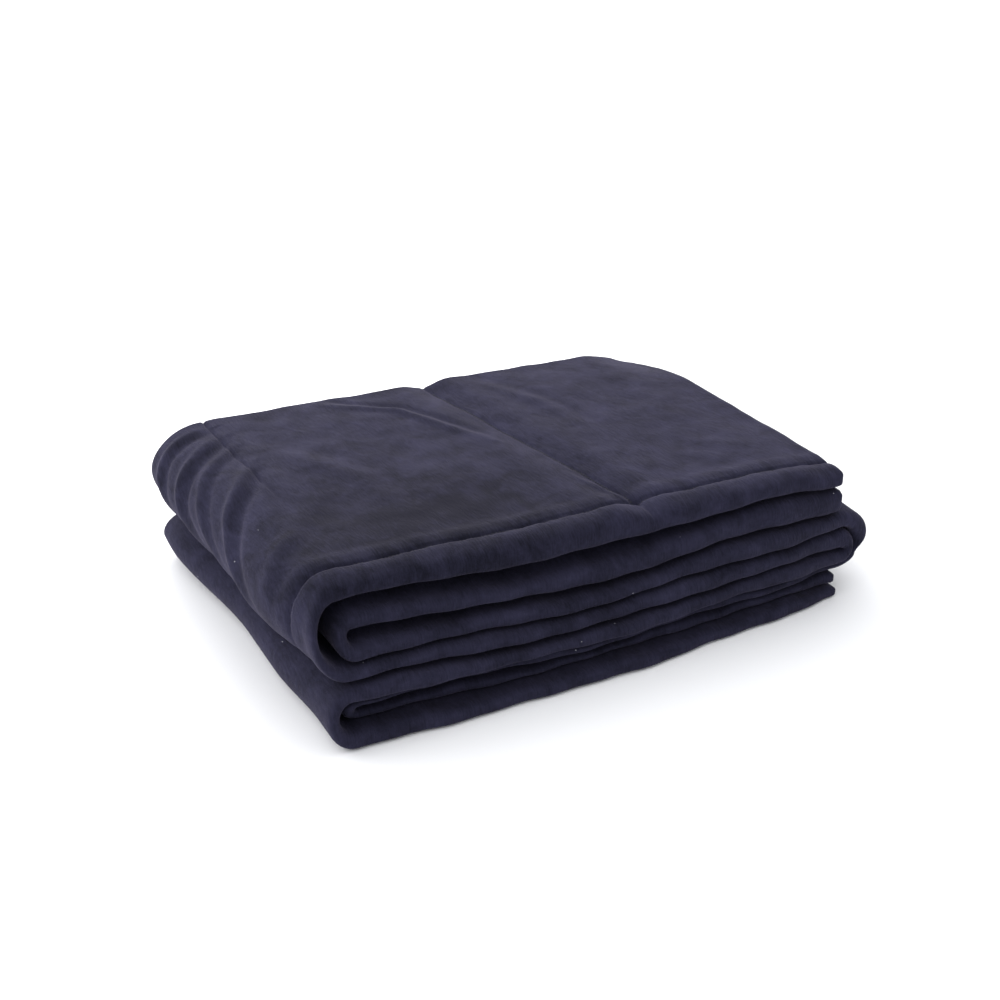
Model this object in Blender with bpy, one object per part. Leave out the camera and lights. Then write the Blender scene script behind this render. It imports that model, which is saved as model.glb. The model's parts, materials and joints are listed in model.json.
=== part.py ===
"""Plush infrared sauna blanket, folded in half across its width and then into four panels.

Frame: origin at the middle of the underside, +X along the panels, +Y towards the folded spine,
+Z up. Panel 1 is on top and panel 4 lies on the floor. Each panel is two plies of one quilt,
joined round the spine at +Y and hemmed at -Y. Sizes are in metres.
"""

import math

import bmesh
import bpy

# The folded quilt
PANEL_LENGTH = 0.450
DEPTH = 0.350
UPPER_PLY = 0.019
LOWER_PLY = 0.011
GAP = 0.0003
PANELS = (1, 2, 3, 4)

# The layers of one ply, from the outside in; the wadding takes what is left
FACE_PLUSH = 0.0030
FILM = 0.0005
LINING_PLUSH = 0.0025
WIRE_RADIUS = 0.0008
WIRE_SPACING = 0.046
WIRE_BEND_STEPS = 8
WIRE_SPINE_STEPS = 32

# Hems, seams and thread
NEAR_HEM = 0.018
HEAD_HEM = 0.020
SEAM_WIDTH = 0.0024
SEAM_SINK = 0.0010
THREAD_RADIUS = 0.0006
THREAD_INSET = 0.014
GROOVE_DEPTH = 0.0016
FOLD_INSET = 0.008

# The power inlet in the free end of panel 4
INLET_LENGTH = 0.030
INLET_WIDTH = 0.044
INLET_HEIGHT = 0.0180
INLET_Y = 0.060
SHELL_WALL = 0.0025
SOCKET_DEPTH = 0.016
CARRIER_THICKNESS = 0.003
PIN_RADIUS = 0.0010
PIN_LENGTH = 0.009
PIN_SPACING = 0.014
SCREW_RADIUS = 0.0015
SCREW_HEAD_RADIUS = 0.0028
SCREW_HEAD_HEIGHT = 0.0012
SCREW_LENGTH = 0.0110
SCREW_SPACING = 0.030
LEAD_SPACING = 0.012
LEAD_RADIUS = 0.0008
LEAD_REACH_SHARE = 0.8
HEM_BRIDGE = 0.004

# Safety parts in the wadding
CUTOUT_RADIUS = 0.0020
CUTOUT_LENGTH = 0.016
CUTOUT_Y = 0.060
SAFETY_INSET = 0.040
SENSOR_SIZE = (0.012, 0.006, 0.003)
POCKET_CLEARANCE = 0.0003

ROUND_STEPS = 12

MATERIALS = {
    "plush": ((0.045, 0.042, 0.066, 1.0), 0.95, 0.0),
    "lining": ((0.040, 0.038, 0.058, 1.0), 0.95, 0.0),
    "wadding": ((0.80, 0.79, 0.76, 1.0), 0.95, 0.0),
    "film": ((0.72, 0.72, 0.74, 1.0), 0.35, 1.0),
    "wire": ((0.10, 0.10, 0.11, 1.0), 0.60, 0.0),
    "thread": ((0.032, 0.030, 0.048, 1.0), 0.75, 0.0),
    "moulding": ((0.02, 0.02, 0.022, 1.0), 0.45, 0.0),
    "brass": ((0.60, 0.45, 0.20, 1.0), 0.35, 1.0),
    "steel": ((0.55, 0.55, 0.56, 1.0), 0.35, 1.0),
    "ceramic": ((0.85, 0.84, 0.80, 1.0), 0.50, 0.0),
}


def clear_scene():
    for old in list(bpy.data.objects):
        bpy.data.objects.remove(old)


def material(name):
    """The named material, made once with its colour, roughness and metallic value."""
    made = bpy.data.materials.get(name)
    if made:
        return made
    color, roughness, metallic = MATERIALS[name]
    made = bpy.data.materials.new(name)
    made.use_nodes = True
    shader = made.node_tree.nodes["Principled BSDF"]
    shader.inputs["Base Color"].default_value = color
    shader.inputs["Roughness"].default_value = roughness
    shader.inputs["Metallic"].default_value = metallic
    made.diffuse_color = color
    return made


# Where things are, worked out from the sizes above

def ply_of(panel):
    return UPPER_PLY if panel < 3 else LOWER_PLY


def floor_of(panel):
    """Height of a panel's underside."""
    below = [p for p in PANELS if p > panel]
    return sum(2 * ply_of(p) + GAP for p in below)


def middle_of(panel):
    return floor_of(panel) + ply_of(panel)


def hinge_height(panel):
    """Middle of the gap between a panel and the one under it."""
    return floor_of(panel) - GAP / 2


LEFT_BULGE = 2 * UPPER_PLY
RIGHT_BULGE = UPPER_PLY + LOWER_PLY
LENGTH = PANEL_LENGTH + LEFT_BULGE + RIGHT_BULGE
LEFT_FOLD = LEFT_BULGE - LENGTH / 2
RIGHT_FOLD = LENGTH / 2 - RIGHT_BULGE
NEAR = -DEPTH / 2
FAR = DEPTH / 2
SEAM_X = (LEFT_FOLD + RIGHT_FOLD) / 2
LAYERS_NEAR = NEAR + NEAR_HEM + GAP
FOOT_HEM = INLET_LENGTH + GAP + HEM_BRIDGE


def ends_of(panel):
    """Where the panel's layers start and stop along X, short of its end hem if it has one."""
    stop = RIGHT_FOLD - GAP
    if panel == 1:
        stop -= HEAD_HEM + GAP
    if panel == 4:
        stop -= FOOT_HEM + GAP
    return LEFT_FOLD + GAP, stop


def layer_depths(ply):
    """Outer and inner distance of each layer from the panel's middle plane."""
    face = (ply, ply - FACE_PLUSH)
    lining = (GAP / 2 + LINING_PLUSH, GAP / 2)
    film = (lining[0] + GAP + FILM, lining[0] + GAP)
    wire = film[0] + GAP + WIRE_RADIUS
    wadding = (face[1] - GAP, wire + WIRE_RADIUS + GAP)
    return {"face": face, "wadding": wadding, "wire": wire, "film": film, "lining": lining}


# Solids

def arc(center, radii, start, stop, steps=ROUND_STEPS):
    """Points along an ellipse between two angles in degrees."""
    turns = [math.radians(start + (stop - start) * i / steps) for i in range(steps + 1)]
    return [(center[0] + radii[0] * math.cos(t), center[1] + radii[1] * math.sin(t)) for t in turns]


def add_object(name, mesh, kind):
    obj = bpy.data.objects.new(name, mesh)
    bpy.context.scene.collection.objects.link(obj)
    mesh.materials.append(material(kind))
    return obj


def prism(name, outline, axis, start, stop, kind):
    """A closed outline extruded along X, Y or Z from start to stop."""
    place = {
        "X": lambda a, b: (start, a, b),
        "Y": lambda a, b: (a, start, b),
        "Z": lambda a, b: (a, b, start),
    }[axis]
    shift = [0.0, 0.0, 0.0]
    shift["XYZ".index(axis)] = stop - start
    bm = bmesh.new()
    face = bm.faces.new([bm.verts.new(place(a, b)) for a, b in outline])
    grown = bmesh.ops.extrude_face_region(bm, geom=[face])["geom"]
    moved = [g for g in grown if isinstance(g, bmesh.types.BMVert)]
    bmesh.ops.translate(bm, vec=shift, verts=moved)
    bmesh.ops.recalc_face_normals(bm, faces=bm.faces)
    mesh = bpy.data.meshes.new(name)
    bm.to_mesh(mesh)
    bm.free()
    return add_object(name, mesh, kind)


def rectangle(low, high):
    return [(low[0], low[1]), (high[0], low[1]), (high[0], high[1]), (low[0], high[1])]


def block(name, low, high, kind):
    return prism(name, rectangle(low[:2], high[:2]), "Z", low[2], high[2], kind)


def tube(name, route, radius, kind):
    """A round wire along the route, with closed ends."""
    curve = bpy.data.curves.new(name, "CURVE")
    curve.dimensions = "3D"
    curve.bevel_depth = radius
    curve.bevel_resolution = 0
    curve.use_fill_caps = True
    spline = curve.splines.new("POLY")
    spline.points.add(len(route) - 1)
    for point, place in zip(spline.points, route):
        point.co = (*place, 1.0)
    return add_object(name, curve, kind)


def cylinder(name, end, length, radius, axis, kind, sides=16):
    """A round bar from its end point along the axis."""
    x, y, z = end
    center = {"X": (y, z), "Y": (x, z), "Z": (x, y)}[axis]
    base = {"X": x, "Y": y, "Z": z}[axis]
    circle = arc(center, (radius, radius), 0, 360 - 360 / sides, sides - 1)
    return prism(name, circle, axis, base, base + length, kind)


def cut(obj, cutter):
    cutter.hide_render = True
    cutter.display_type = "WIRE"
    boolean = obj.modifiers.new(cutter.name, "BOOLEAN")
    boolean.operation = "DIFFERENCE"
    boolean.object = cutter


def hairpin(panel, depths, near_y):
    """Profile in Y and Z of a layer that runs from one near edge round the spine to the other."""
    outer, inner = depths
    middle = middle_of(panel)
    center = (FAR - ply_of(panel), middle)
    return [
        (near_y, middle + outer),
        *arc(center, (outer, outer), 90, -90),
        (near_y, middle - outer),
        (near_y, middle - inner),
        *arc(center, (inner, inner), -90, 90),
        (near_y, middle + inner),
    ]


# The layers of a panel

def make_face_plush(panel):
    """The outer plush in two lengths, with the sunk binding of the cross seam between them."""
    face = layer_depths(ply_of(panel))["face"]
    start, stop = ends_of(panel)
    profile = hairpin(panel, face, LAYERS_NEAR)
    half = SEAM_WIDTH / 2 + GAP
    prism(f"face_plush_{panel}_left", profile, "X", start, SEAM_X - half, "plush")
    prism(f"face_plush_{panel}_right", profile, "X", SEAM_X + half, stop, "plush")
    sunk = hairpin(panel, (face[0] - SEAM_SINK, face[1]), LAYERS_NEAR)
    low, high = SEAM_X - SEAM_WIDTH / 2, SEAM_X + SEAM_WIDTH / 2
    prism(f"seam_binding_{panel}", sunk, "X", low, high, "thread")


def make_inner_layers(panel):
    depths = layer_depths(ply_of(panel))
    start, stop = ends_of(panel)
    for name, layer, kind in (
        ("wadding", "wadding", "wadding"),
        ("reflective_film", "film", "film"),
        ("lining_plush", "lining", "lining"),
    ):
        profile = hairpin(panel, depths[layer], LAYERS_NEAR)
        prism(f"{name}_{panel}", profile, "X", start, stop, kind)


def wire_depth(panel):
    return layer_depths(ply_of(panel))["wire"]


def round_spine(panel, x, along):
    """Place of a point at x and a distance along the wire layer, from the near edge round the spine."""
    depth = wire_depth(panel)
    middle = middle_of(panel)
    straight = FAR - ply_of(panel) - LAYERS_NEAR
    bent = math.pi * depth
    if along <= straight:
        return (x, LAYERS_NEAR + along, middle + depth)
    if along < straight + bent:
        turn = (along - straight) / depth
        y = LAYERS_NEAR + straight + depth * math.sin(turn)
        return (x, y, middle + depth * math.cos(turn))
    return (x, LAYERS_NEAR + 2 * straight + bent - along, middle - depth)


def wire_rows(panel):
    """Distances of the wire's straight runs from the near edge, over both plies."""
    around = 2 * (FAR - ply_of(panel) - LAYERS_NEAR) + math.pi * wire_depth(panel)
    count = int((around - WIRE_SPACING) / WIRE_SPACING) + 1
    first = (around - (count - 1) * WIRE_SPACING) / 2
    return [first + i * WIRE_SPACING for i in range(count)]


def turn_centers(panel):
    """X of the wire's bends at the left and at the right."""
    start, stop = ends_of(panel)
    return start + WIRE_SPACING * 0.75, stop - WIRE_SPACING * 0.75


def make_heating_wire(panel):
    """One wire to and fro along the panel, through the upper ply, round the spine and back."""
    start = ends_of(panel)[0]
    rows = wire_rows(panel)
    left, right = turn_centers(panel)
    bend = WIRE_SPACING / 2
    flat = [(start, rows[0])]
    for number, (low, high) in enumerate(zip(rows, rows[1:])):
        side = 1 if number % 2 == 0 else -1
        center = (right if side > 0 else left, (low + high) / 2)
        at_spine = abs(center[1] - (rows[0] + rows[-1]) / 2) < WIRE_SPACING
        steps = WIRE_SPINE_STEPS if at_spine else WIRE_BEND_STEPS
        flat += arc(center, (side * bend, bend), -90, 90, steps)
    flat.append((start if len(rows) % 2 == 0 else ends_of(panel)[1], rows[-1]))
    route = [round_spine(panel, x, along) for x, along in flat]
    tube(f"heating_wire_{panel}", route, WIRE_RADIUS, "wire")


# Hems

def hem_profile(low, high, grooved):
    """Near hem in Y and Z: a round nose, square behind, and a groove for the thread on top."""
    radius = (high - low) / 2
    center = (NEAR + radius, low + radius)
    back = NEAR + NEAR_HEM
    groove = NEAR + THREAD_INSET
    half = THREAD_RADIUS + GAP
    nose = arc(center, (radius, radius), 90, 270)
    if not grooved:
        return [(back, high), *nose, (back, low)]
    floor = high - GROOVE_DEPTH
    back_wall = [(groove + half, high), (groove + half, floor)]
    notch = [*back_wall, (groove - half, floor), (groove - half, high)]
    return [(back, high), *notch, *nose, (back, low)]


def make_near_hems(panel):
    ply = ply_of(panel)
    middle = middle_of(panel)
    start, stop = ends_of(panel)
    plies = (
        ("upper", middle + GAP / 2, middle + ply),
        ("lower", middle - ply, middle - GAP / 2),
    )
    for side, low, high in plies:
        profile = hem_profile(low, high, side == "upper")
        prism(f"near_hem_{panel}_{side}", profile, "X", start, stop, "plush")
    sunk = GROOVE_DEPTH - GAP - THREAD_RADIUS
    y = NEAR + THREAD_INSET
    height = middle + ply - sunk
    tube(f"hem_thread_{panel}", [(start, y, height), (stop, y, height)], THREAD_RADIUS, "thread")


def end_hem(name, panel, depth):
    """Closes both plies at a free end, across the whole depth."""
    stop = RIGHT_FOLD - GAP
    profile = hairpin(panel, (ply_of(panel), GAP / 2), NEAR)
    return prism(name, profile, "X", stop - depth, stop, "plush")


# Folds

def fold_arms(upper_panel):
    """Hinge height, and how far the fold reaches above and below it in whole and in half panels."""
    up = ply_of(upper_panel)
    down = ply_of(upper_panel + 1)
    return hinge_height(upper_panel), up, down


def make_fold(number, upper_panel, side):
    """The quilt where it turns from one panel into the next: one ply round the other."""
    hinge, up, down = fold_arms(upper_panel)
    out = -1 if side == "left" else 1
    edge = LEFT_FOLD if side == "left" else RIGHT_FOLD
    outer_center = (edge, hinge + up - down)
    outer = up + down + GAP / 2
    inner_center = (edge, hinge + (up - down) / 2)
    inner = (up + down) / 2 + GAP
    outside = arc(outer_center, (out * outer, outer), 90, -90)
    inside = arc(inner_center, (out * inner, inner), -90, 90)
    near, far = NEAR + FOLD_INSET, FAR - FOLD_INSET
    prism(f"fold_{number}_outer", [*outside, *inside], "Y", near, far, "plush")
    core_size = inner - GAP * 1.5
    core = arc(inner_center, (out * core_size, core_size), 90, -90)
    prism(f"fold_{number}_inner", core, "Y", near, far, "plush")


# The power inlet

def make_inlet():
    stop = RIGHT_FOLD - GAP
    start = stop - INLET_LENGTH
    middle = middle_of(4)
    half_width, half_height = INLET_WIDTH / 2, INLET_HEIGHT / 2
    cavity_y = half_width - SHELL_WALL
    cavity_z = half_height - SHELL_WALL
    floor = stop - SOCKET_DEPTH
    near, far = INLET_Y - half_width, INLET_Y + half_width
    for side, sign in (("lower", -1), ("upper", 1)):
        split = middle + sign * GAP / 2
        roof = middle + sign * half_height
        bottom, top = min(split, roof), max(split, roof)
        shell = block(f"inlet_shell_{side}", (start, near, bottom), (stop, far, top), "moulding")
        inside = middle + sign * cavity_z
        low = (floor, INLET_Y - cavity_y, min(split, inside) - (GAP if sign > 0 else 0))
        high = (stop + GAP, INLET_Y + cavity_y, max(split, inside) + (GAP if sign < 0 else 0))
        cut(shell, block(f"socket_cutter_{side}", low, high, "moulding"))
        cut_screw_holes(shell, side, start)
    carrier_low = (floor + GAP, INLET_Y - cavity_y + GAP, middle - cavity_z + GAP)
    carrier_high = (floor + GAP + CARRIER_THICKNESS, INLET_Y + cavity_y - GAP, middle + cavity_z - GAP)
    block("inlet_pin_carrier", carrier_low, carrier_high, "ceramic")
    face = carrier_high[0] + GAP
    for name, side in (("near", -1), ("far", 1)):
        end = (face, INLET_Y + side * PIN_SPACING / 2, middle)
        cylinder(f"inlet_pin_{name}", end, PIN_LENGTH, PIN_RADIUS, "X", "brass", 10)
    make_screws(start)


def screw_places(start):
    """Screws stand in the solid block behind the socket."""
    x = start + (INLET_LENGTH - SOCKET_DEPTH) / 2
    return [("near", x, INLET_Y - SCREW_SPACING / 2), ("far", x, INLET_Y + SCREW_SPACING / 2)]


def cut_screw_holes(shell, side, start):
    """Holes for the shanks, and for the heads under the lower shell."""
    bottom = middle_of(4) - INLET_HEIGHT / 2
    shank = SCREW_HEAD_HEIGHT + SCREW_LENGTH + 3 * GAP
    head = SCREW_HEAD_HEIGHT + 3 * GAP
    for name, x, y in screw_places(start):
        end = (x, y, bottom - GAP)
        hole = cylinder(f"shank_cutter_{side}_{name}", end, shank, SCREW_RADIUS + GAP, "Z", "steel", 12)
        cut(shell, hole)
        if side == "lower":
            radius = SCREW_HEAD_RADIUS + GAP
            cut(shell, cylinder(f"head_cutter_{name}", end, head, radius, "Z", "steel"))


def make_screws(start):
    bottom = middle_of(4) - INLET_HEIGHT / 2 + GAP
    for name, x, y in screw_places(start):
        make_screw(f"inlet_screw_{name}", x, y, bottom)


def make_screw(name, x, y, bottom, sides=12):
    """A head with its shank above it, built up from four rings."""
    head_top = bottom + SCREW_HEAD_HEIGHT
    rings = (
        (SCREW_HEAD_RADIUS, bottom),
        (SCREW_HEAD_RADIUS, head_top),
        (SCREW_RADIUS, head_top),
        (SCREW_RADIUS, head_top + SCREW_LENGTH),
    )
    bm = bmesh.new()
    loops = []
    for radius, z in rings:
        circle = arc((x, y), (radius, radius), 0, 360 - 360 / sides, sides - 1)
        loops.append([bm.verts.new((a, b, z)) for a, b in circle])
    bm.faces.new(loops[0][::-1])
    bm.faces.new(loops[-1])
    for low, high in zip(loops, loops[1:]):
        for i in range(sides):
            j = (i + 1) % sides
            bm.faces.new((low[i], low[j], high[j], high[i]))
    mesh = bpy.data.meshes.new(name)
    bm.to_mesh(mesh)
    bm.free()
    add_object(name, mesh, "steel")


def make_foot_hem():
    """The free end of panel 4, with the pocket that holds the inlet and two holes for its leads."""
    hem = end_hem("foot_end_hem", 4, FOOT_HEM)
    stop = RIGHT_FOLD - GAP
    ply = ply_of(4)
    middle = middle_of(4)
    half = INLET_WIDTH / 2 + GAP
    low = (stop - INLET_LENGTH - GAP, INLET_Y - half, middle - ply - GAP)
    high = (stop + GAP, INLET_Y + half, middle + ply + GAP)
    cut(hem, block("pocket_cutter", low, high, "plush"))
    for name, y in lead_rows():
        end = (stop - FOOT_HEM - GAP, y, middle + wire_depth(4))
        length, radius = HEM_BRIDGE + 3 * GAP, LEAD_RADIUS + GAP
        cut(hem, cylinder(f"lead_cutter_{name}", end, length, radius, "X", "plush", 10))


def lead_rows():
    return ("near", INLET_Y - LEAD_SPACING / 2), ("far", INLET_Y + LEAD_SPACING / 2)


def make_leads():
    """Two leads from the inlet, through the hem, to the nearest bend of the heating wire."""
    inlet_back = RIGHT_FOLD - GAP - INLET_LENGTH - GAP
    hem_back = ends_of(4)[1] - GAP
    rows = wire_rows(4)
    bends = [LAYERS_NEAR + (low + high) / 2 for low, high in zip(rows[0::2], rows[1::2])]
    center_y = min(bends, key=lambda y: abs(y - INLET_Y))
    reach = WIRE_SPACING / 2 + WIRE_RADIUS + LEAD_RADIUS
    most = LEAD_REACH_SHARE * reach - LEAD_SPACING / 2
    shift = max(-most, min(most, INLET_Y - center_y)) + center_y - INLET_Y
    height = middle_of(4) + wire_depth(4)
    for name, y in lead_rows():
        offset = y + shift - center_y
        end_x = turn_centers(4)[1] + math.sqrt(reach**2 - offset**2)
        route = [(inlet_back, y, height), (hem_back, y, height), (end_x, y + shift, height)]
        tube(f"inlet_lead_{name}", route, LEAD_RADIUS, "wire")


# Safety parts

def make_safety_parts():
    """A thermal cut-out in panels 1 and 2 and a temperature sensor in panel 2, in wadding pockets."""
    for panel in (1, 2):
        base = middle_of(panel) + layer_depths(ply_of(panel))["wadding"][1]
        end = (SEAM_X + SAFETY_INSET, CUTOUT_Y, base + CUTOUT_RADIUS)
        cylinder(f"thermal_cutout_{panel}", end, CUTOUT_LENGTH, CUTOUT_RADIUS, "X", "ceramic", 12)
        span = (end[0], end[0] + CUTOUT_LENGTH)
        cut_pocket(panel, CUTOUT_Y, span, 2 * CUTOUT_RADIUS, 2 * CUTOUT_RADIUS)
    length, width, height = SENSOR_SIZE
    low_x = SEAM_X - SAFETY_INSET - length
    base = middle_of(2) + layer_depths(ply_of(2))["wadding"][1]
    high = (low_x + length, width / 2, base + height)
    block("temperature_sensor", (low_x, -width / 2, base), high, "ceramic")
    cut_pocket(2, 0.0, (low_x, low_x + length), width, height)


def cut_pocket(panel, y, span, width, height):
    """A pocket in the upper ply's wadding, open towards the wires."""
    wadding = bpy.data.objects[f"wadding_{panel}"]
    base = middle_of(panel) + layer_depths(ply_of(panel))["wadding"][1]
    side = width / 2 + POCKET_CLEARANCE
    low = (span[0] - POCKET_CLEARANCE, y - side, base - POCKET_CLEARANCE / 2)
    high = (span[1] + POCKET_CLEARANCE, y + side, base + height + POCKET_CLEARANCE)
    number = len(wadding.modifiers)
    cut(wadding, block(f"pocket_cutter_{panel}_{number}", low, high, "wadding"))


def main():
    clear_scene()
    for panel in PANELS:
        make_face_plush(panel)
        make_inner_layers(panel)
        make_heating_wire(panel)
        make_near_hems(panel)
    end_hem("head_end_hem", 1, HEAD_HEM)
    make_fold(1, 1, "left")
    make_fold(2, 2, "right")
    make_fold(3, 3, "left")
    make_foot_hem()
    make_inlet()
    make_leads()
    make_safety_parts()


main()
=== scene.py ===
# %% [markdown]
# # A plush heated blanket, folded into a stack
#
# The real object is one long quilt. It is folded in half across its width, so that it is two
# plies thick with a spine at the back and hems at the front, and then folded to and fro into
# four panels. This lesson builds each length of ply as its own soft, closed solid. The design
# frame is loaded first, because every size and joint below comes from it.

# %% Load the frame
import json
import math

import bmesh
import bpy
import numpy as np
from mathutils import Matrix, Vector, noise


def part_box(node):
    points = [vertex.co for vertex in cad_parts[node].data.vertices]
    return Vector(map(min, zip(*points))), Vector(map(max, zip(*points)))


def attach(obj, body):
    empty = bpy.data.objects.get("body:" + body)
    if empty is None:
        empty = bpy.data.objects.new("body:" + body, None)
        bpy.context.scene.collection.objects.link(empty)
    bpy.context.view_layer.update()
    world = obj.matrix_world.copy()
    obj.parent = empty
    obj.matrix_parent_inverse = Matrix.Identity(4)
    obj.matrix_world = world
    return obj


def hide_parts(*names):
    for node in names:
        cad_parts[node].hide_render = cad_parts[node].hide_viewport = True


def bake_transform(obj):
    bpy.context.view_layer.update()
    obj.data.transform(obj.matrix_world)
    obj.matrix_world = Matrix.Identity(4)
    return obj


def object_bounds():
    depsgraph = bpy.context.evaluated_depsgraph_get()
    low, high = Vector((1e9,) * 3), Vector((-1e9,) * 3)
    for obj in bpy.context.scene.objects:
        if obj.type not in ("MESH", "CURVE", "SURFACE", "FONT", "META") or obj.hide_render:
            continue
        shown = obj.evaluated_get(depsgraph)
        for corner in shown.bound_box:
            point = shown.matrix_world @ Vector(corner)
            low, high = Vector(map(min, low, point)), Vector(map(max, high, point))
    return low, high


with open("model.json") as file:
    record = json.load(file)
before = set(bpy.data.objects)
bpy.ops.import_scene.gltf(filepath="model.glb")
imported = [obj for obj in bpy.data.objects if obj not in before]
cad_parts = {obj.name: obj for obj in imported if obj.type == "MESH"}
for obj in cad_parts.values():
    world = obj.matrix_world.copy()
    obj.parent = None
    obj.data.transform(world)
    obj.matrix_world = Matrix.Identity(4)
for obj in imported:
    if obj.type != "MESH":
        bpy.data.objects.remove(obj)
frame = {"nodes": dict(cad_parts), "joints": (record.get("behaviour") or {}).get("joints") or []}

CAD_BOX = [[float(value) for value in corner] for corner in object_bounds()]
JOINTS = {joint["name"]: joint for joint in frame["joints"]}
LEFT = JOINTS["upper_left_fold"]["pos_m"][0]
RIGHT = JOINTS["right_fold"]["pos_m"][0]
PANEL = RIGHT - LEFT
HEIGHT = CAD_BOX[1][2]
print("panel length", round(PANEL, 3), "height", round(HEIGHT, 4))

# %% [markdown]
# ## The camera
#
# The camera is made first, so that every later render shows what was gained. A 54 mm lens at
# about a metre looks down on the near left corner, the way a person would look at a folded
# blanket on a table.

# %% Camera
EYE = Vector((-0.531, -1.024, 0.6245))
AZIMUTH = math.radians(-26.7)
ELEVATION = math.radians(25.5)


def make_camera():
    """A camera at EYE that looks towards the object, with the horizon level."""
    data = bpy.data.cameras.new("camera")
    data.lens = 54.0
    data.sensor_width = 36.0
    camera = bpy.data.objects.new("camera", data)
    bpy.context.scene.collection.objects.link(camera)
    camera.location = EYE
    camera.rotation_euler = (math.pi / 2 - ELEVATION, 0.0, AZIMUTH)
    bpy.context.scene.camera = camera


make_camera()
print("camera at", [round(value, 3) for value in EYE])

# %% [markdown]
# ## The stack in numbers
#
# Eight plies lie on each other. Between them run nine surfaces, from the top of the stack to the
# floor. In the middle of the stack they are flat and evenly spaced, as the frame says. At the
# near edge the hems sag, bulge and slip past each other, so each surface has its own heights
# there at four stations along the edge, and each ply its own slip.

# %% Heights and slips
MM = 0.001


def middle_height(panel):
    low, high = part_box(f"face_plush_{panel}_left")
    return (low.z + high.z) / 2, (high.z - low.z) / 2


def flat_heights():
    """The nine surfaces from the top down, where the stack lies flat."""
    heights = [HEIGHT]
    for panel in (1, 2, 3, 4):
        middle, ply = middle_height(panel)
        heights += [middle, middle - ply]
    return np.array(heights)


FLAT = flat_heights()
STATIONS = np.array([0.05, 0.43, 0.83, 1.0])
NEAR_HEIGHTS = MM * np.array([
    [121, 121, 121, 119],
    [100, 93, 103, 99],
    [80, 70, 79, 78],
    [62, 56, 61, 61],
    [49, 42, 45, 43],
    [35, 31, 31, 30],
    [25, 21, 21, 20],
    [14, 12, 11, 10],
    [0, 0, 0, 0],
])
GAPS = MM * np.array([
    [0, 0, 0, 0],
    [9, 10, 3, 1],
    [8, 4, 2, 1],
    [1, 1, 1, 1],
    [2, 2, 1, 1],
    [1, 1, 1, 1],
    [5, 3, 1, 1],
    [1, 1, 1, 1],
    [0, 0, 0, 0],
])
SLIPS = MM * np.array([
    [2, 3, 2, 0],
    [9, 9, 6, 1],
    [16, 15, 10, 2],
    [22, 21, 12, 2],
    [28, 27, 14, 2],
    [18, 18, 6, -5],
    [16, 16, 4, -1],
    [32, 32, 17, 2],
])
NEAR = -0.151
FAR = 0.178
FADE = 0.10
GAP_FADE = 0.032
HEIGHT_WAVE = 0.0018
SLIP_WAVE = 0.0021
SKIN_GAP = 0.00025


def ease(value):
    value = np.clip(value, 0.0, 1.0)
    return value * value * (3 - 2 * value)


def along_edge(row, x):
    """A row of station values, eased from one station to the next."""
    share = np.clip((x - LEFT) / PANEL, 0.0, 1.0)
    result = np.full_like(share, row[0])
    for start, stop, low, high in zip(STATIONS, STATIONS[1:], row, row[1:]):
        result = result + (high - low) * ease((share - start) / (stop - start))
    return result


def waves(x, seed):
    """A slow, uneven wave along an edge, from about -1 to 1."""
    result = np.zeros(np.shape(x))
    for number, (length, share) in enumerate(((0.181, 0.45), (0.087, 0.33), (0.043, 0.22))):
        result = result + share * np.sin(2 * np.pi * x / length + seed * (2.1 + 1.7 * number))
    return result


def surface(number, x, y):
    """Height of one of the nine surfaces."""
    near = along_edge(NEAR_HEIGHTS[number], x)
    if 0 < number < 8:
        near = near + HEIGHT_WAVE * waves(x, number)
    fade = 1 - ease((y - NEAR) / FADE)
    return FLAT[number] + (near - FLAT[number]) * fade


def gap_at(number, x, y):
    """How far the plies above and below a surface stand apart."""
    return SKIN_GAP + along_edge(GAPS[number], x) / 2 * (1 - ease((y - NEAR) / GAP_FADE))


print("flat heights, mm", np.round(FLAT / MM, 1))

# %% [markdown]
# ## A ply of quilt
#
# A ply could be a thin sheet with a Solidify modifier, but then its edge would be square. Here
# each length starts as a cube that is subdivided along its length, width and thickness. Every
# vertex then has three coordinates from 0 to 1, and one function places it: along the panel and
# round the fold, from the near hem to the spine, and from the inner skin to the outer skin.

# %% A slab with fine divisions
SHARP = math.radians(62)


def slab(counts):
    """A unit cube in a bmesh, cut into counts[0] x counts[1] x counts[2] cells."""
    bm = bmesh.new()
    bmesh.ops.create_cube(bm, size=1.0)
    bmesh.ops.translate(bm, vec=(0.5, 0.5, 0.5), verts=bm.verts)
    for axis, count in enumerate(counts):
        if count < 2:
            continue
        edges = [e for e in bm.edges if abs(e.verts[0].co[axis] - e.verts[1].co[axis]) > 1e-6]
        bmesh.ops.subdivide_edges(bm, edges=edges, cuts=count - 1, use_grid_fill=True)
    return bm


def finish_mesh(name, bm, place):
    """Places every vertex with place(a, b, c), which takes and gives arrays, and makes the object."""
    mesh = bpy.data.meshes.new(name)
    bm.to_mesh(mesh)
    bm.free()
    unit = np.empty(len(mesh.vertices) * 3)
    mesh.vertices.foreach_get("co", unit)
    unit = unit.reshape(-1, 3)
    where = place(unit[:, 0], unit[:, 1], unit[:, 2])
    mesh.vertices.foreach_set("co", where.astype(np.float32).ravel())
    mesh.update()
    obj = bpy.data.objects.new(name, mesh)
    bpy.context.scene.collection.objects.link(obj)
    face_out(mesh)
    return obj


def face_out(mesh):
    """Points every face outwards and shades it smooth, but for edges sharper than SHARP."""
    bm = bmesh.new()
    bm.from_mesh(mesh)
    bmesh.ops.recalc_face_normals(bm, faces=bm.faces)
    bm.to_mesh(mesh)
    bm.free()
    mesh.shade_smooth()
    mesh.set_sharp_from_angle(angle=SHARP)


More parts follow.
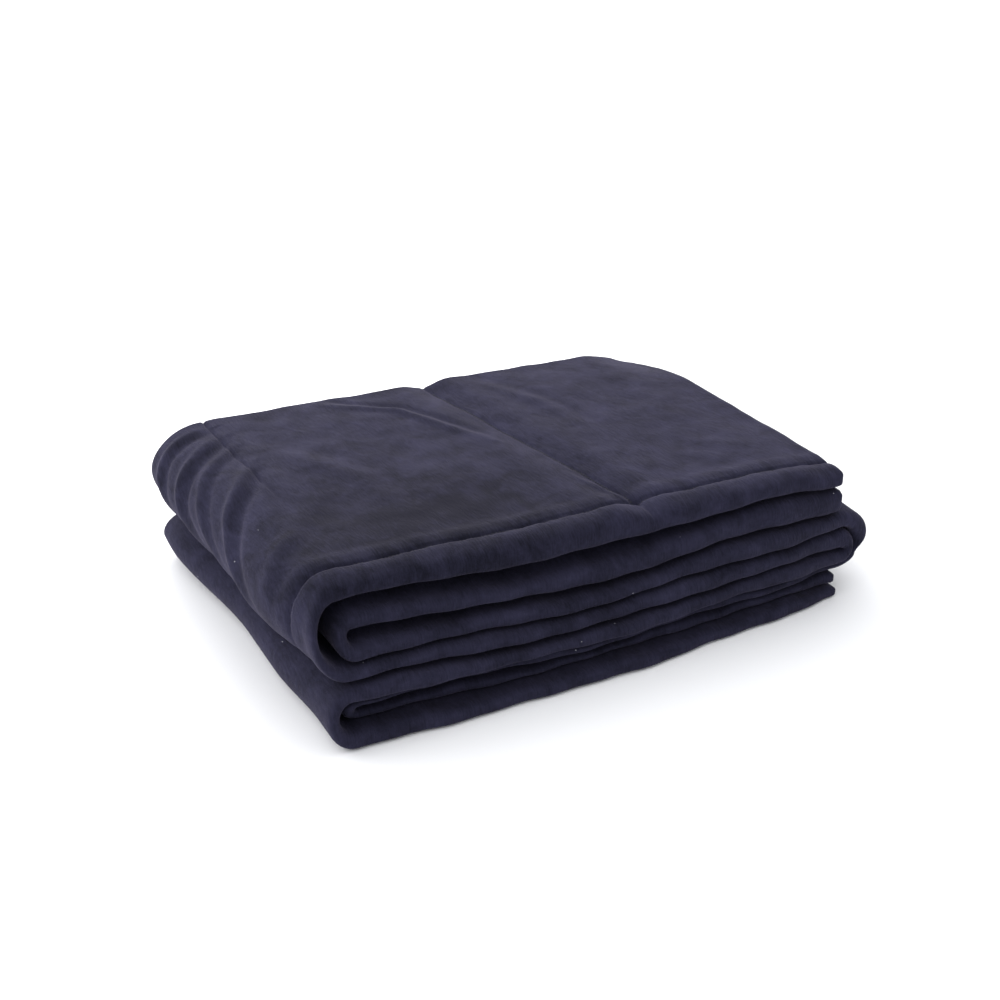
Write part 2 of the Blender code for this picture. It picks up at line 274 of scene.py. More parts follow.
print("edges stay sharp from", round(math.degrees(SHARP)), "degrees")

# %% The round of a hem and of the spine
NOSE_SHARE = 0.10
NOSE_START = math.radians(26)
BLUNT = 0.7
SPINE_SHARE = 0.14
SPINE_TURN = math.radians(86)
END_SHARE = 0.75
CELL_GROWTH = 1.25


def hem_round(share, level):
    """Cosine of the hem's angle, and the thickness left, at a share of the way in from its nose.

    level runs from -1 on one skin to 1 on the other, and matters only on the nose itself.
    """
    turn = NOSE_START + (math.pi / 2 - NOSE_START) * np.clip(share, 0, 1)
    wall = NOSE_START * np.abs(level)
    on_nose = share < 1e-9
    left = np.sin(wall) ** BLUNT / np.maximum(np.abs(level), 1e-6)
    cosine = np.where(on_nose, np.cos(wall), np.cos(turn))
    return cosine, np.where(on_nose, left, np.sin(turn) ** BLUNT)


def across(b, level, end, nose, spine, spine_side):
    """Depth from the near edge, how far the free end pulls in, and the share of the thickness.

    nose is the depth of a hem's round, and end is the distance from the free end, as a share of its
    round. Where the near hem and the end hem meet, each pulls the other in, which rounds the corner.
    At the far edge the ply bends over to its partner in the same panel, so that the two plies meet
    there as one spine.
    """
    near_cosine, near_left = hem_round(b / NOSE_SHARE, level)
    end_cosine, end_left = hem_round(end, level)
    depth = nose * (1 - near_cosine * np.sqrt(1 - end_cosine**2 / 2))
    pulled = 1 - end_cosine * np.sqrt(1 - near_cosine**2 / 2) - np.clip(end, 0, 1)
    share = level * np.minimum(end_left, near_left)
    flat = np.clip((b - NOSE_SHARE) / (1 - NOSE_SHARE - SPINE_SHARE), 0, 1)
    depth = depth + flat**CELL_GROWTH * (FAR - NEAR - nose - spine)
    back = np.clip((b - (1 - SPINE_SHARE)) / SPINE_SHARE, 0, 1) * SPINE_TURN
    depth = depth + spine * np.sin(back)
    bent = spine_side * ((1 + spine_side * share) * np.cos(back) - 1)
    return depth, END_SHARE * nose * pulled, np.where(back > 0, bent, share)


FAR_ROUND = 0.040
LEFT_BULGE = 0.020
RIGHT_BULGE = 0.006
LEFT_ROUND_SHARE = 0.1


def round_far_corners(x, y):
    """Pulls the far corners in, seen from above: the right to a soft round, the left barely."""
    at_left = np.clip(1 - (x - LEFT + LEFT_BULGE) / FAR_ROUND, 0, 1)
    at_right = np.clip(1 - (RIGHT + RIGHT_BULGE - x) / FAR_ROUND, 0, 1)
    outward = at_right - LEFT_ROUND_SHARE * at_left
    back = np.clip(1 - (FAR - y) / FAR_ROUND, 0, 1)
    x = x - outward * FAR_ROUND * (1 - np.sqrt(1 - back**2 / 2))
    return x, y - back * FAR_ROUND * (1 - np.sqrt(1 - outward**2 / 2))


print("far corners rounded by", FAR_ROUND, "m")

# %% [markdown]
# ## Where the quilt turns
#
# At a fold the outer ply runs round the inner one. The outer skin and the inner skin each follow
# half an ellipse from the upper panel's ply to the lower panel's ply. The same function gives the
# flat lengths before and after the turn, so the skin stays smooth all the way round.

# %% The skins of a ply
INLET_LOW, INLET_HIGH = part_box("inlet_shell_lower")[0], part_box("inlet_shell_upper")[1]
INLET_ROOM = 0.0004
INLET_EASE = 0.020


def round_inlet(ply, x, y, upper, lower):
    """Plies 7 and 8 part at the free end, to hold the power inlet between them."""
    aside = np.maximum(INLET_LOW.y - y, y - INLET_HIGH.y)
    behind = INLET_LOW.x - x
    near = 1 - ease(np.maximum(aside, behind) / INLET_EASE - 0.05)
    if ply == 7:
        lower = lower + np.maximum(INLET_HIGH.z + INLET_ROOM - lower, 0) * near
    if ply == 8:
        upper = upper + np.minimum(INLET_LOW.z - INLET_ROOM - upper, 0) * near
    return upper, lower


def skins_of(ply, x, y):
    """Upper and lower surface of a ply, numbered from 1 at the top to 8 at the floor."""
    upper = surface(ply - 1, x, y) - gap_at(ply - 1, x, y)
    lower = surface(ply, x, y) + (gap_at(ply, x, y) if ply < 8 else 0.0)
    return round_inlet(ply, x, y, upper, lower)


def slip_of(ply, x):
    """How far the ply's hem has slipped towards the front."""
    return along_edge(SLIPS[ply - 1], x) + SLIP_WAVE * waves(x, 10 + ply)


print("the inlet stands between", round(INLET_LOW.z, 4), "and", round(INLET_HIGH.z, 4), "m")

# %% A length of ply with its turn
def half_turn(turn, top, low, reach):
    """How far out and how high a skin is, as it turns from its top to its low height."""
    height = (top + low) / 2 + (top - low) / 2 * np.cos(turn)
    return reach * np.sin(turn), height


HOLD_DEPTH = 0.075
GROWS_FROM = -0.01
GROWS_OVER = 0.16
DENT_AT = 0.66
DENT_WIDTH = 0.08


def place_turned(
    plies, edge, ends, reach, nose,
    spine_side=-1, open_end=None, relief=None, dent=0.0, hem_pull=0.0, far_reach=0.0,
):
    """A placing function for a ply that turns from an upper to a lower panel at an edge.

    reach gives how far the outer and the inner skin stand out at the turn. hem_pull is the share by
    which the stitched hem holds the turn in, far_reach the share by which the turn grows towards the
    spine, and dent the depth of a pinch round it.
    """
    upper_ply, lower_ply = plies
    out = -1.0 if edge < 0 else 1.0
    before, after = abs(ends[0] - edge), abs(ends[1] - edge)
    turn_length = math.pi * (reach[0] + reach[1]) / 2
    total = before + turn_length + after
    spines = FLAT[upper_ply - 1] - FLAT[upper_ply], FLAT[lower_ply - 1] - FLAT[lower_ply]
    fine_cells = (before + turn_length) / total if relief is None else FINE_CELLS

    def place(a, b, c):
        along = total * np.interp(a, (0, fine_cells, 1), (0, (before + turn_length) / total, 1))
        turn = np.clip((along - before) / turn_length, 0, 1) * math.pi
        flat = np.where(along < before, before - along, np.maximum(along - before - turn_length, 0))
        x = edge - out * flat
        swing = (1 - np.cos(turn)) / 2
        spine = spines[0] * (1 - swing) + spines[1] * swing
        end = {"upper": along, "lower": total - along}.get(open_end, np.full_like(a, nose))
        level = 2 * c - 1
        depth, pulled, share = across(b, level, end / (END_SHARE * nose), nose, spine, spine_side)
        slip = slip_of(upper_ply, x) * (1 - swing) + slip_of(lower_ply, x) * swing
        fade = 1 - np.clip(depth / (FAR - NEAR), 0, 1)
        y = NEAR + depth - slip * fade
        outer_top, inner_top = skins_of(upper_ply, x, y)
        inner_low, outer_low = skins_of(lower_ply, x, y)
        held = 1 - hem_pull * (1 - ease((y - NEAR) / HOLD_DEPTH))
        held = held + far_reach * ease((y - GROWS_FROM) / GROWS_OVER)
        pinch = held - dent * np.exp(-(((turn / math.pi - DENT_AT) / DENT_WIDTH) ** 2))
        outer = half_turn(turn, outer_top, outer_low, reach[0] * pinch)
        inner = half_turn(turn, inner_top, inner_low, reach[1] * held)
        if relief is not None:
            raised = relief(np.where(turn > 0, -reach[0] * turn, flat), y)
            raised = raised * (1 - ease((along - before) / turn_length * 1.5 - 0.5))
            outer = outer[0] + raised * np.sin(turn), outer[1] + raised * np.cos(turn)
        middle = [(p + q) / 2 for p, q in zip(outer, inner)]
        half = [(p - q) / 2 for p, q in zip(outer, inner)]
        x = x + out * (middle[0] + half[0] * share + pulled)
        x, y = round_far_corners(x, y)
        return np.stack([x, y, middle[1] + half[1] * share], axis=1)

    return place


print("hold depth", HOLD_DEPTH, "m")

# %% [markdown]
# ## Seams, creases and puckers
#
# A quilt is drawn in wherever thread or a join holds it, and stands proud in between. The relief
# of the top is a sum of soft valleys and ridges: the slanting cross seam, the faint seam where the
# blanket begins to roll off, the stitched hem with its fine puckers, and the creases that a
# thick quilt makes when it is bent. They are given in metres, from the fold edge and the middle line.

# %% Seams and creases as distances
def valley(distance, width):
    """One on the line, falling away to nothing on both sides."""
    return np.exp(-((distance / width) ** 2))


def cross_seam_x(y):
    """The cross seam slants a little, because the panel was folded by hand."""
    return 0.0192 - 0.149 * y


def crease_distance(points, x, y):
    """Signed distance from a line through the points, and a strength that fades to its ends."""
    best = np.full(np.shape(x), 1e9)
    signed = np.zeros(np.shape(x))
    share = np.zeros(np.shape(x))
    count = len(points) - 1
    for number, (start, stop) in enumerate(zip(points, points[1:])):
        dx, dy = stop[0] - start[0], stop[1] - start[1]
        length = math.hypot(dx, dy)
        t = np.clip(((x - start[0]) * dx + (y - start[1]) * dy) / length**2, 0, 1)
        away = np.hypot(x - start[0] - t * dx, y - start[1] - t * dy)
        side = np.sign((x - start[0]) * dy - (y - start[1]) * dx)
        closer = away < best
        best = np.where(closer, away, best)
        signed = np.where(closer, away * side, signed)
        share = np.where(closer, (number + t) / count, share)
    return signed, np.sin(np.pi * np.clip(share, 0.02, 0.98)) ** 0.6


def soft_noise(x, y, size, seed):
    """Smooth noise from about -1 to 1, with lumps of the given size."""
    points = zip(x.ravel() / size, y.ravel() / size)
    values = [noise.noise(Vector((p, q, seed))) for p, q in points]
    return np.array(values).reshape(x.shape)


print("cross seam at the near edge: x", round(cross_seam_x(NEAR), 4))

# %% Relief of the top skin
STITCH_Y = NEAR + 0.0235
DROOP_REACH = 0.07
DROOP_DEPTH = 0.10
DROOP_FAR = 0.011
DROOP_ALONG = 0.003
LUMPS = ((0.0018, 0.075, 1.3), (0.0007, 0.022, 7.9))
TOP_CREASES = (
    ([(-0.110, 0.170), (-0.050, 0.128), (-0.006, 0.030)], 0.0022, 0.010),
    ([(0.040, 0.165), (0.075, 0.090), (0.085, 0.020)], 0.0010, 0.014),
    ([(-0.190, 0.110), (-0.130, 0.020), (-0.120, -0.060)], 0.0010, 0.020),
    ([(0.020, -0.060), (0.030, -0.100), (0.036, -0.130)], 0.0016, 0.007),
)
ROLL_CREASES = (
    ([(0.004, 0.160), (-0.040, 0.150), (-0.085, 0.120)], 0.0027, 0.012),
    ([(0.010, 0.135), (-0.022, 0.110), (-0.060, 0.085), (-0.105, 0.020)], 0.0032, 0.012),
    ([(0.016, 0.070), (-0.006, 0.030), (-0.030, 0.000), (-0.085, -0.080)], 0.0040, 0.012),
    ([(0.030, -0.030), (0.004, -0.070), (-0.020, -0.090), (-0.060, -0.120)], 0.0014, 0.016),
    ([(0.012, 0.110), (-0.018, 0.080), (-0.045, 0.045), (-0.095, -0.020)], 0.0022, 0.010),
)


def stitched_hem(x, y):
    """The hem's groove, the plump roll in front of it, and fine puckers across it."""
    line = y - STITCH_Y - 0.0010 * waves(x, 3)
    groove = -0.0022 * valley(line, 0.0017)
    roll = 0.0012 * valley(line + 0.010, 0.007)
    swell = 0.0013 * valley(line - 0.011, 0.008)
    pucker = 0.0007 * soft_noise(x * 2.6, y * 0.35, 0.013, 4.2) * valley(line, 0.008)
    return groove + roll + swell + pucker


def ridge(points, height, width, x, y):
    """A crease: a ridge with a shallower valley beside it."""
    distance, strength = crease_distance(points, x, y)
    up, down = (valley(distance + side * width / 2, width / 2) for side in (-1, 1))
    return height * strength * (up - 0.8 * down)


def top_relief(out, y):
    """Relief of the outer skin at a distance from the left fold edge, negative round the turn."""
    x = LEFT + out
    across_seam = x - cross_seam_x(y)
    deeper = 1 + 0.8 * ease((y - 0.10) / 0.06)
    relief = -0.0016 * valley(across_seam, 0.0022) - 0.0026 * valley(across_seam, 0.015) * deeper
    relief = relief + 0.0010 * valley(across_seam + 0.024, 0.016)
    relief = relief + 0.0014 * valley(across_seam - 0.024, 0.016)
    fading = 1 - 0.9 * ease((0.06 - y) / 0.08)
    relief = relief - 0.0018 * valley(out - 0.012 + 0.05 * y, 0.0014) * fading
    relief = relief + 0.0010 * valley(out - 0.024 + 0.05 * y, 0.010) * fading
    for points, height, width in TOP_CREASES:
        relief = relief + ridge(points, height, width, x, y)
    at_spine = 1 - 0.7 * ease((y - 0.145) / 0.03)
    for points, height, width in ROLL_CREASES:
        relief = relief + ridge(points, height, width, out, y) * at_spine
    knot = np.hypot(x - cross_seam_x(STITCH_Y), y - STITCH_Y)
    relief = relief + stitched_hem(x, y) - 0.0022 * valley(knot, 0.005)
    droop = ease((x - RIGHT + DROOP_REACH) / DROOP_REACH)
    at_far = ease((y - FAR + DROOP_DEPTH) / DROOP_DEPTH)
    relief = relief - DROOP_FAR * droop * at_far - DROOP_ALONG * droop
    for height, size, seed in LUMPS:
        relief = relief + height * soft_noise(x, y, size, seed)
    return relief


print("stitch line at y", round(STITCH_Y, 4))

# %% [markdown]
# ## The plush
#
# The blanket has a short cut pile on a knitted ground. Brushed one way it looks darker, brushed
# the other way paler, and along an edge its tips catch the light. Millions of hairs would only
# blur from a metre away, so one shader mixes patches of nap, strokes and rows of tufts for its
# colour and its bump, and its sheen does the rest. Its colour also holds painted shade: the top
# is darker in a wide area near the hem, where less light falls.

# %% Node helpers
def linear(hexcode):
    """An sRGB hex colour as linear RGBA."""
    parts = [int(hexcode[i : i + 2], 16) / 255 for i in (1, 3, 5)]
    return (*[p / 12.92 if p <= 0.04045 else ((p + 0.055) / 1.055) ** 2.4 for p in parts], 1.0)


def add(tree, kind, inputs=None, **settings):
    """A node with its settings; an input given as a socket is linked, and any other value is set."""
    node = tree.nodes.new(kind)
    for key, value in settings.items():
        setattr(node, key, value)
    for key, value in (inputs or {}).items():
        if isinstance(value, bpy.types.NodeSocket):
            tree.links.new(value, node.inputs[key])
        else:
            node.inputs[key].default_value = value
    return node


def new_material(name):
    made = bpy.data.materials.new(name)
    made.use_nodes = True
    return made, made.node_tree, made.node_tree.nodes["Principled BSDF"]


print("mid grey in linear light", round(linear("#808080")[0], 3))

# %% Warp-knitted plush
TUFT_MM = 0.9
ROW_MM = 1.2
PATCH_MM = 30
STROKE_MM = 5.0
LINT_MM = 17
LINT_SIZE = 0.024
LINT_SHARE = 0.28
# Painted shade: the top's colour is darkened in a wide area near the hem, where less light falls.
PAINTED_SHADE_MIDDLE = (-0.12, -0.085, HEIGHT)
PAINTED_SHADE_REACH = (0.19, 0.11, 0.04)
PAINTED_SHADE_TONE = 0.19


def noise_of(tree, where, size_mm, detail, roughness, distortion=0.0):
    """Noise with lumps of the given size."""
    settings = {
        "Vector": where, "Scale": 1000 / size_mm, "Detail": detail,
        "Roughness": roughness, "Distortion": distortion,
    }
    return add(tree, "ShaderNodeTexNoise", settings).outputs["Fac"]


def mixed(tree, share, first, second):
    """Two values mixed, with the given share of the second."""
    return add(tree, "ShaderNodeMix", {"Factor": share, "A": first, "B": second}).outputs[0]


def maths(tree, operation, first, second):
    return add(tree, "ShaderNodeMath", {0: first, 1: second}, operation=operation).outputs[0]


def nap_of(tree, where):
    """Where the pile lies towards or away from the eye: hand-sized patches with strokes in them."""
    patches = noise_of(tree, where, PATCH_MM, 5.0, 0.58, 0.7)
    slant = {"Vector": where, "Rotation": (0.0, 0.0, 0.5), "Scale": (1.0, 0.3, 1.0)}
    stroked = add(tree, "ShaderNodeMapping", slant)
    strokes = noise_of(tree, stroked.outputs[0], STROKE_MM, 4.0, 0.65)
    return mixed(tree, 0.28, patches, strokes)


def smoothed_of(tree, where):
    """Painted shade: the colour is made darker in a wide area near the hem, where less light falls."""
    scale = [1 / reach for reach in PAINTED_SHADE_REACH]
    shift = [-middle * factor for middle, factor in zip(PAINTED_SHADE_MIDDLE, scale)]
    fitted = add(tree, "ShaderNodeMapping", {"Vector": where, "Location": shift, "Scale": scale})
    ball = add(tree, "ShaderNodeTexGradient", {"Vector": fitted.outputs[0]}, gradient_type="SPHERICAL")
    return maths(tree, "MULTIPLY", ball.outputs["Fac"], PAINTED_SHADE_TONE)


def pile_of(tree, where):
    """Rows of tufts: short lines across the hems, broken up by single tufts."""
    drawn = add(tree, "ShaderNodeMapping", {"Vector": where, "Scale": (1.0, 0.14, 0.14)})
    rows = noise_of(tree, drawn.outputs[0], ROW_MM, 2.0, 0.5)
    tufts = noise_of(tree, where, TUFT_MM, 2.0, 0.6)
    return mixed(tree, 0.36, rows, tufts)


def lint_of(tree, where):
    """One where a fleck of pale lint sits, which dark plush always collects."""
    spots = {"Vector": where, "Scale": 1000 / LINT_MM, "Randomness": 1.0}
    cells = add(tree, "ShaderNodeTexVoronoi", spots)
    small = maths(tree, "LESS_THAN", cells.outputs["Distance"], LINT_SIZE)
    channel = add(tree, "ShaderNodeSeparateColor", {"Color": cells.outputs["Color"]})
    rare = maths(tree, "GREATER_THAN", channel.outputs["Red"], 1 - LINT_SHARE)
    return maths(tree, "MULTIPLY", small, rare)


def plush(name, dark, light, sheen):
    """Short cut pile: patches of nap, rows of tufts, a few flecks of lint, painted shade near the hem,
    and sheen.
    """
    made, tree, shader = new_material(name)
    where = add(tree, "ShaderNodeTexCoord").outputs["Object"]
    nap, pile = nap_of(tree, where), pile_of(tree, where)
    # The tone is lowered by painted shade near the hem.
    tone = maths(tree, "SUBTRACT", mixed(tree, 0.34, nap, pile), smoothed_of(tree, where))
    ramp = add(tree, "ShaderNodeValToRGB", {"Fac": tone})
    ramp.color_ramp.elements[0].position = 0.34
    ramp.color_ramp.elements[0].color = linear(dark)
    ramp.color_ramp.elements[1].position = 0.66
    ramp.color_ramp.elements[1].color = linear(light)
    flecked = {"Factor": lint_of(tree, where), 6: ramp.outputs["Color"], 7: linear("#c9c9d4")}
    color = add(tree, "ShaderNodeMix", flecked, data_type="RGBA")
    height = mixed(tree, 0.60, nap, pile)
    bump = add(tree, "ShaderNodeBump", {"Height": height, "Strength": 0.9, "Distance": 0.0017})
    tree.links.new(color.outputs[2], shader.inputs["Base Color"])
    tree.links.new(bump.outputs["Normal"], shader.inputs["Normal"])
    shader.inputs["Roughness"].default_value = 0.95
    shader.inputs["Specular IOR Level"].default_value = 0.08
    shader.inputs["Sheen Weight"].default_value = sheen
    shader.inputs["Sheen Roughness"].default_value = 0.38
    shader.inputs["Sheen Tint"].default_value = linear("#898399")
    return made


PLUSH = plush("warp_knitted_plush", "#151520", "#313044", 0.30)
print("tufts", TUFT_MM, "mm, rows", ROW_MM, "mm, nap patches", PATCH_MM, "mm")

# %% [markdown]
# ## The small finishes
#
# The inlet is a fine matte moulding with brass pins on a ceramic carrier, held by plain steel
# screws, and the leads behind it have a silicone sleeve. The thread is spun polyester. Each finish
# is one Principled shader with a fine grain, sized in millimetres, that moves its colour, its
# roughness and its bump.

# %% One function for the small finishes
GRAIN_DEPTH = 0.00005
ROUGHNESS_SPREAD = 0.08


def small_finish(name, hexcode, roughness, grain_mm, grain, metallic=0.0, drawn=(1.0, 1.0, 1.0)):
    """A finish with a grain of its own size, which can be drawn out along an axis."""
    made, tree, shader = new_material(name)
    where = add(tree, "ShaderNodeTexCoord").outputs["Object"]
    mapped = add(tree, "ShaderNodeMapping", {"Vector": where, "Scale": drawn})
    grained = {"Vector": mapped.outputs[0], "Scale": 1000 / grain_mm, "Detail": 3.0}
    noisy = add(tree, "ShaderNodeTexNoise", grained).outputs["Fac"]
    color = linear(hexcode)
    ramp = add(tree, "ShaderNodeValToRGB", {"Fac": noisy})
    ramp.color_ramp.elements[0].color = (*[c * (1 - grain) for c in color[:3]], 1.0)
    ramp.color_ramp.elements[1].color = (*[min(c * (1 + grain), 1.0) for c in color[:3]], 1.0)
    limits = {"To Min": roughness - ROUGHNESS_SPREAD, "To Max": roughness + ROUGHNESS_SPREAD}
    spread = add(tree, "ShaderNodeMapRange", {"Value": noisy, **limits})
    bump = add(tree, "ShaderNodeBump", {"Height": noisy, "Strength": 0.4, "Distance": GRAIN_DEPTH})
    tree.links.new(ramp.outputs["Color"], shader.inputs["Base Color"])
    tree.links.new(spread.outputs["Result"], shader.inputs["Roughness"])
    tree.links.new(bump.outputs["Normal"], shader.inputs["Normal"])
    shader.inputs["Metallic"].default_value = metallic
    return made


THREAD = small_finish("spun_polyester_thread", "#15151f", 0.80, 0.4, 0.35, drawn=(0.5, 1.0, 1.0))
MOULDING = small_finish("spark_eroded_black_polyamide", "#17171a", 0.52, 0.25, 0.15)
CERAMIC = small_finish("pressed_steatite", "#ded9cc", 0.55, 0.6, 0.06)
BRASS = small_finish("turned_brass", "#b8923f", 0.30, 0.3, 0.08, metallic=1.0, drawn=(4.0, 0.3, 0.3))
STEEL = small_finish("zinc_plated_steel", "#a7a9ad", 0.36, 0.5, 0.08, metallic=1.0)
SLEEVE = small_finish("silicone_sleeve", "#232327", 0.62, 0.8, 0.12)
FINISHES = {
    "inlet_shell": MOULDING, "inlet_pin_carrier": CERAMIC, "inlet_pin_near": BRASS,
    "inlet_pin_far": BRASS, "inlet_screw": STEEL, "inlet_lead": SLEEVE, "heating_wire": SLEEVE,
    "thermal_cutout": CERAMIC, "temperature_sensor": CERAMIC,
}


def finish_hard_pieces():
    """Gives every node that the quilt doesn't cover its own finish."""
    done = 0
    for name, obj in frame["nodes"].items():
        for start, material in FINISHES.items():
            if name.startswith(start):
                obj.data.materials.clear()
                obj.data.materials.append(material)
                done += 1
    return done


print("hard pieces with their finish:", finish_hard_pieces())

# %% [markdown]
# ## The quilt's lengths
#
# Each outer length runs from one panel round a fold to the next, and each inner length turns inside
# it. Each length's transform is baked into its mesh.

# %% Make one length
FINE = 0.0022
MEDIUM = 0.0033
FINE_CELLS = 0.70
THICKNESS_CELLS = 6
END = RIGHT - 0.0005


def quilt_length(name, plies, edge, ends, reach, cell, **options):
    """A closed length of quilt round a fold, with its material and its flat size."""
    total = abs(ends[0] - edge) + abs(ends[1] - edge) + math.pi * sum(reach) / 2
    counts = (max(round(total / cell), 12), round((FAR - NEAR) / cell), THICKNESS_CELLS)
    obj = finish_mesh(name, slab(counts), place_turned(plies, edge, ends, reach, **options))
    obj.data.materials.append(PLUSH)
    print(name, len(obj.data.polygons), "faces, flat length", round(total, 3), "m")
    return obj


def bend_by_height(obj):
    """Bakes the object's transform into its mesh."""
    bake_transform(obj)


def bend_on_slant(obj):
    """Bakes the object's transform into its mesh."""
    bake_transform(obj)


# %% Outer lengths
INSET = 0.008
top_length = quilt_length(
    "quilt_top_length", (1, 4), LEFT, (END, END), (0.038, 0.026), FINE,
    nose=0.011, open_end="upper", relief=top_relief, hem_pull=0.34, far_reach=0.24,
)
bend_by_height(top_length)
middle_length = quilt_length(
    "quilt_middle_length", (3, 6), RIGHT, (LEFT + INSET, LEFT + INSET), (0.031, 0.016), MEDIUM,
    nose=0.009, dent=0.22,
)
bend_by_height(middle_length)
bottom_length = quilt_length(
    "quilt_bottom_length", (5, 8), LEFT, (END, END), (0.026, 0.014), MEDIUM,
    nose=0.0065, open_end="lower", hem_pull=0.24, far_reach=0.62,
)
bend_by_height(bottom_length)

# %% Inner lengths
head_length = quilt_length(
    "quilt_head_inner_length", (2, 3), LEFT + INSET, (END, LEFT + INSET), (0.021, 0.005), MEDIUM,
    nose=0.010, hem_pull=0.36, spine_side=1, open_end="upper",
)
bend_on_slant(head_length)
joining_turn = quilt_length(
    "quilt_inner_turn", (4, 5), RIGHT, (END, END), (0.014, 0.004), MEDIUM, nose=0.008, spine_side=1
)
bend_on_slant(joining_turn)
foot_length = quilt_length(
    "quilt_foot_inner_length", (6, 7), LEFT + INSET, (LEFT + INSET, END), (0.015, 0.003), MEDIUM,
    nose=0.006, hem_pull=0.12, spine_side=1, open_end="lower",
)
bend_on_slant(foot_length)

# %% [markdown]
# ## Stitches
#
# The hem and the cross seam are sewn with a lockstitch about 3 mm long. A stitch is a short thread
# that dives into the cloth at both ends, so each one here is a small sphere stretched along the
# line, copied all the way along. They sit in their groove, so only a hint of them shows.

# %% Rows of stitches
STITCH_LENGTH = 0.0030
STITCH_RADIUS = 0.00045
THREAD_SHARE = 0.8
SEAM_REACH = 0.29


def stitch_row(name, line, material):
    """A row of stretched spheres along a function line(t) for t from 0 to 1, as one mesh."""
    spots = np.array([line(t) for t in np.linspace(0, 1, 400)])
    steps = np.concatenate([[0], np.cumsum(np.linalg.norm(np.diff(spots, axis=0), axis=1))])
    bm = bmesh.new()
    for start in np.arange(STITCH_LENGTH, steps[-1] - STITCH_LENGTH, STITCH_LENGTH):
        first, last = (
            Vector([np.interp(place, steps, spots[:, axis]) for axis in range(3)])
            for place in (start, start + THREAD_SHARE * STITCH_LENGTH)
        )
        along = last - first
        turn = Vector((1, 0, 0)).rotation_difference(along).to_matrix().to_4x4()
        turn.translation = (first + last) / 2
        made = bmesh.ops.create_uvsphere(bm, u_segments=6, v_segments=5, radius=STITCH_RADIUS)["verts"]
        bmesh.ops.rotate(bm, cent=(0, 0, 0), matrix=Matrix.Rotation(math.pi / 2, 3, "Y"), verts=made)
        bmesh.ops.scale(bm, vec=(along.length / (2 * STITCH_RADIUS), 1, 1), verts=made)
        bmesh.ops.transform(bm, matrix=turn, verts=made)
    mesh = bpy.data.meshes.new(name)
    bm.to_mesh(mesh)
    bm.free()
    obj = bpy.data.objects.new(name, mesh)
    bpy.context.scene.collection.objects.link(obj)
    mesh.shade_smooth()
    mesh.materials.append(material)
    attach(obj, "panel_1")
    print(name, len(mesh.polygons), "faces")
    return obj


def on_top(x, y):
    """A place on the top skin, a little proud of it."""
    where = np.array([x]), np.array([y])
    height = surface(0, *where) - gap_at(0, *where) + top_relief(where[0] - LEFT, where[1])
    return x, y, float(height[0]) + 0.6 * STITCH_RADIUS


hem_stitches = stitch_row(
    "hem_stitches", lambda t: on_top(LEFT + 0.02 + t * (PANEL - 0.04), STITCH_Y), THREAD
)


def along_cross_seam(t):
    y = STITCH_Y + t * SEAM_REACH
    return on_top(cross_seam_x(y), y)


seam_stitches = stitch_row("cross_seam_stitches", along_cross_seam, THREAD)

# %% [markdown]
# ## What the lengths stand for
#
# The frame holds every layer of every panel as a plain solid: plush, wadding, film and lining. They
# are what the physics feels. Each length of quilt above is those layers sewn together, so it
# stands in for them, and for the fold and hem solids that it covers.

# %% Stand in for the plain layers
LAYERS = (
    "wadding_{}", "reflective_film_{}", "lining_plush_{}", "near_hem_{}_lower", "near_hem_{}_upper",
)
SKINS = ("face_plush_{}_left", "face_plush_{}_right")


def stand_in(obj, patterns, panels, *others):
    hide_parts(*[pattern.format(panel) for panel in panels for pattern in patterns], *others)


stand_in(top_length, SKINS, (1, 2), "fold_1_outer", "head_end_hem", "seam_binding_2", "hem_thread_2")
stand_in(middle_length, LAYERS, (2, 3), "fold_2_outer")
SEWN = (*SKINS, "seam_binding_{}", "hem_thread_{}")
stand_in(bottom_length, SEWN, (3, 4), "fold_3_outer", "foot_end_hem")
stand_in(head_length, LAYERS, (1,), "fold_1_inner")
stand_in(joining_turn, (), (), "fold_2_inner")
stand_in(foot_length, LAYERS, (4,), "fold_3_inner")
stand_in(hem_stitches, ("hem_thread_{}",), (1,))
stand_in(seam_stitches, ("seam_binding_{}",), (1,))
print("nodes that still show:", [name for name, o in frame["nodes"].items() if not o.hide_render])

# %% [markdown]
# ## The studio
#
# Dark plush has hardly any diffuse reflection, so its shape is told by the light that skims over
# it. The stack stands on white paper under a sky that is bright above and behind and dim in front.
# A wide lamp stands at the left and a soft one low behind: the top catches the light, the rolled
# edges get a thin rim, and the front falls away.

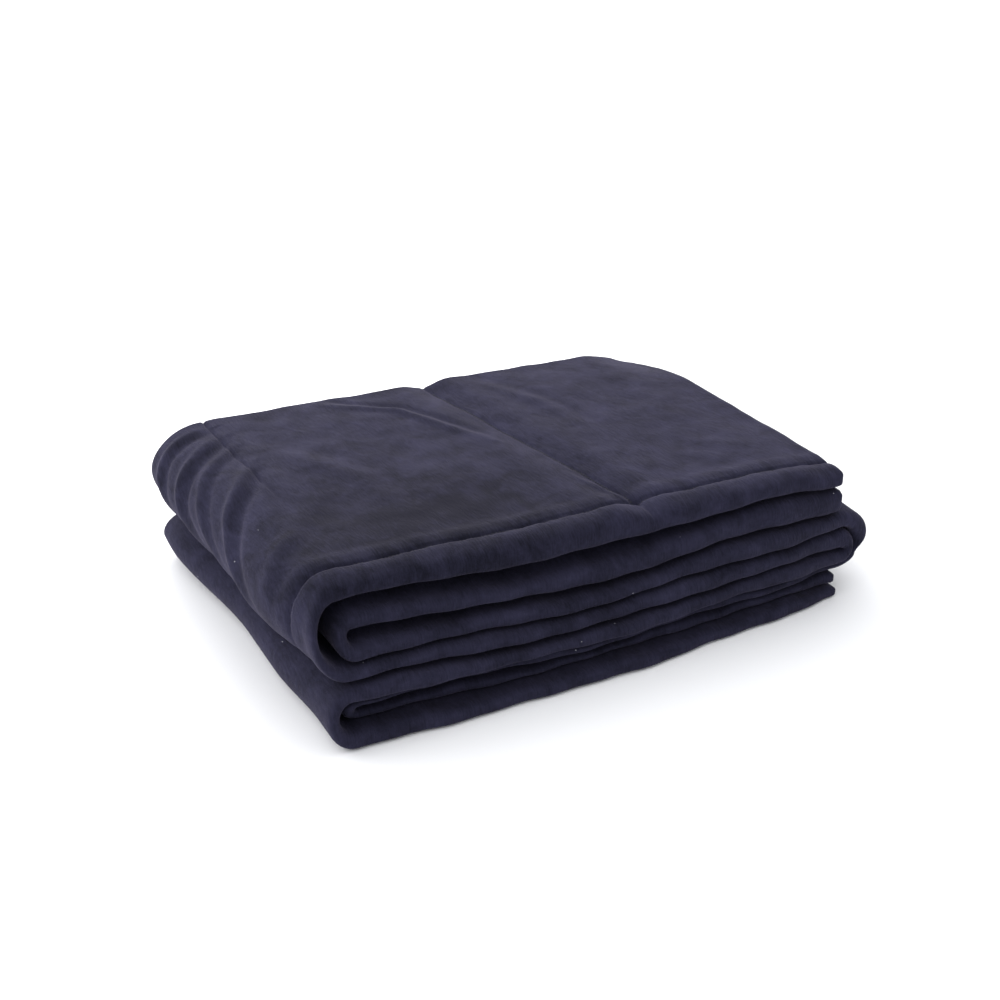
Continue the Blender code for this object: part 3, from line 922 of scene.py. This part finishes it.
# %% Paper, sky and lamps
SKY_FROM = Vector((-0.38, 0.62, 0.69))
SKY_LOW = 0.54
SKY_HIGH = 1.75
LAMP_COLOR = (1.0, 0.99, 0.98)
PAPER_HALF_SIDE = 60.0


def make_paper():
    bm = bmesh.new()
    bmesh.ops.create_grid(bm, x_segments=1, y_segments=1, size=PAPER_HALF_SIDE)
    mesh = bpy.data.meshes.new("paper")
    bm.to_mesh(mesh)
    bm.free()
    paper = bpy.data.objects.new("paper", mesh)
    bpy.context.scene.collection.objects.link(paper)
    made, tree, shader = new_material("white_paper")
    shader.inputs["Base Color"].default_value = linear("#fbfbfd")
    shader.inputs["Roughness"].default_value = 0.9
    mesh.materials.append(made)


def make_sky():
    """A white sky whose strength grows from the front to above and behind."""
    world = bpy.data.worlds.new("studio_sky")
    world.use_nodes = True
    tree = world.node_tree
    background = tree.nodes["Background"]
    where = add(tree, "ShaderNodeTexCoord").outputs["Generated"]
    sides = {0: where, 1: SKY_FROM.normalized()}
    facing = add(tree, "ShaderNodeVectorMath", sides, operation="DOT_PRODUCT")
    strength = add(
        tree, "ShaderNodeMapRange",
        {
            "Value": facing.outputs["Value"], "From Min": -0.35, "From Max": 0.85,
            "To Min": SKY_LOW, "To Max": SKY_HIGH,
        },
        interpolation_type="SMOOTHSTEP",
    )
    tree.links.new(strength.outputs["Result"], background.inputs["Strength"])
    background.inputs["Color"].default_value = (0.98, 0.99, 1.0, 1.0)
    bpy.context.scene.world = world


def area_light(name, place, aim, size, power, color):
    data = bpy.data.lights.new(name, "AREA")
    data.shape = "DISK"
    data.size = size
    data.energy = power
    data.color = color
    light = bpy.data.objects.new(name, data)
    light.location = place
    light.visible_camera = False
    light.rotation_euler = (Vector(aim) - Vector(place)).to_track_quat("-Z", "Y").to_euler()
    bpy.context.scene.collection.objects.link(light)


make_paper()
make_sky()
area_light("window", (-1.5, 0.9, 1.1), (0, 0, 0.05), 1.2, 8, LAMP_COLOR)
area_light("back_bank", (0.05, 0.85, 0.50), (0, 0.12, 0.10), 0.8, 5, LAMP_COLOR)
bpy.context.scene.view_settings.view_transform = "Standard"
print("sky strength", SKY_LOW, "to", SKY_HIGH)
